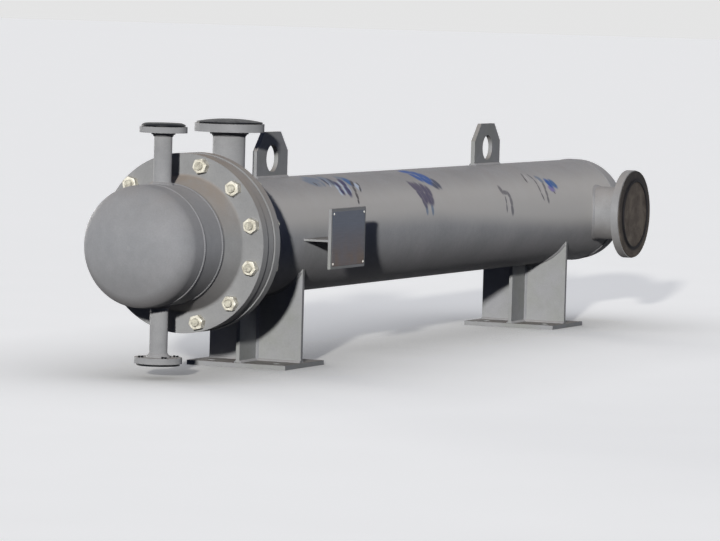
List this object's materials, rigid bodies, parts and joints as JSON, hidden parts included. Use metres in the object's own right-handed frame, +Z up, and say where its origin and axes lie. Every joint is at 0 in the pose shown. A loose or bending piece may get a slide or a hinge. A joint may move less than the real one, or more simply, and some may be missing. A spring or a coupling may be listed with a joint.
{
  "type": "shell and tube heat exchanger",
  "caption": "Horizontal shell and tube heat exchanger: domed channel bolted to a long closed shell on saddles, with capped nozzles and lifting lugs.",
  "frame": {"origin": "centre of the front saddle's underside, on the vertical plane through the shell's centre line", "axes": "+X along the shell from the channel to the far head, +Z up, -Y the side with the nameplate and the side nozzle"},
  "size_m": [3.2702, 0.516, 0.6846],
  "materials": {
    "primer": "satin grey primer",
    "zinc": "galvanised",
    "cover": "dark, dusty",
    "gasket": "matt",
    "plate_metal": "dull"
  },
  "bodies": {
    "root": {"channel_head": "primer", "channel_barrel": "primer", "channel_flange": "primer", "channel_seam_welds": "primer", "channel_gasket": "gasket", "tubesheet": "primer", "shell_gasket": "gasket", "shell_flange": "primer", "shell_cylinder": "primer", "shell_head": "primer", "shell_seam_welds": "primer", "girth_studs": "zinc", "girth_nuts_channel_side": "zinc", "girth_nuts_shell_side": "zinc", "channel_top_neck": "primer", "channel_top_flange": "primer", "channel_top_cover": "cover", "channel_underside_neck": "primer", "channel_underside_flange": "primer", "channel_underside_cover": "cover", "shell_top_neck": "primer", "shell_top_flange": "primer", "shell_top_cover": "cover", "shell_side_neck": "primer", "shell_side_flange": "primer", "shell_side_cover": "cover", "nozzle_welds": "primer", "front_lifting_lug": "primer", "rear_lifting_lug": "primer", "lug_welds": "primer", "front_saddle_web": "primer", "front_saddle_ribs": "primer", "front_saddle_base": "primer", "rear_saddle_web": "primer", "rear_saddle_ribs": "primer", "rear_saddle_base": "primer", "saddle_welds": "primer", "nameplate_shelf": "primer", "nameplate_backing": "primer", "nameplate": "plate_metal", "nameplate_rivets": "plate_metal"}
  },
  "joints": []
}
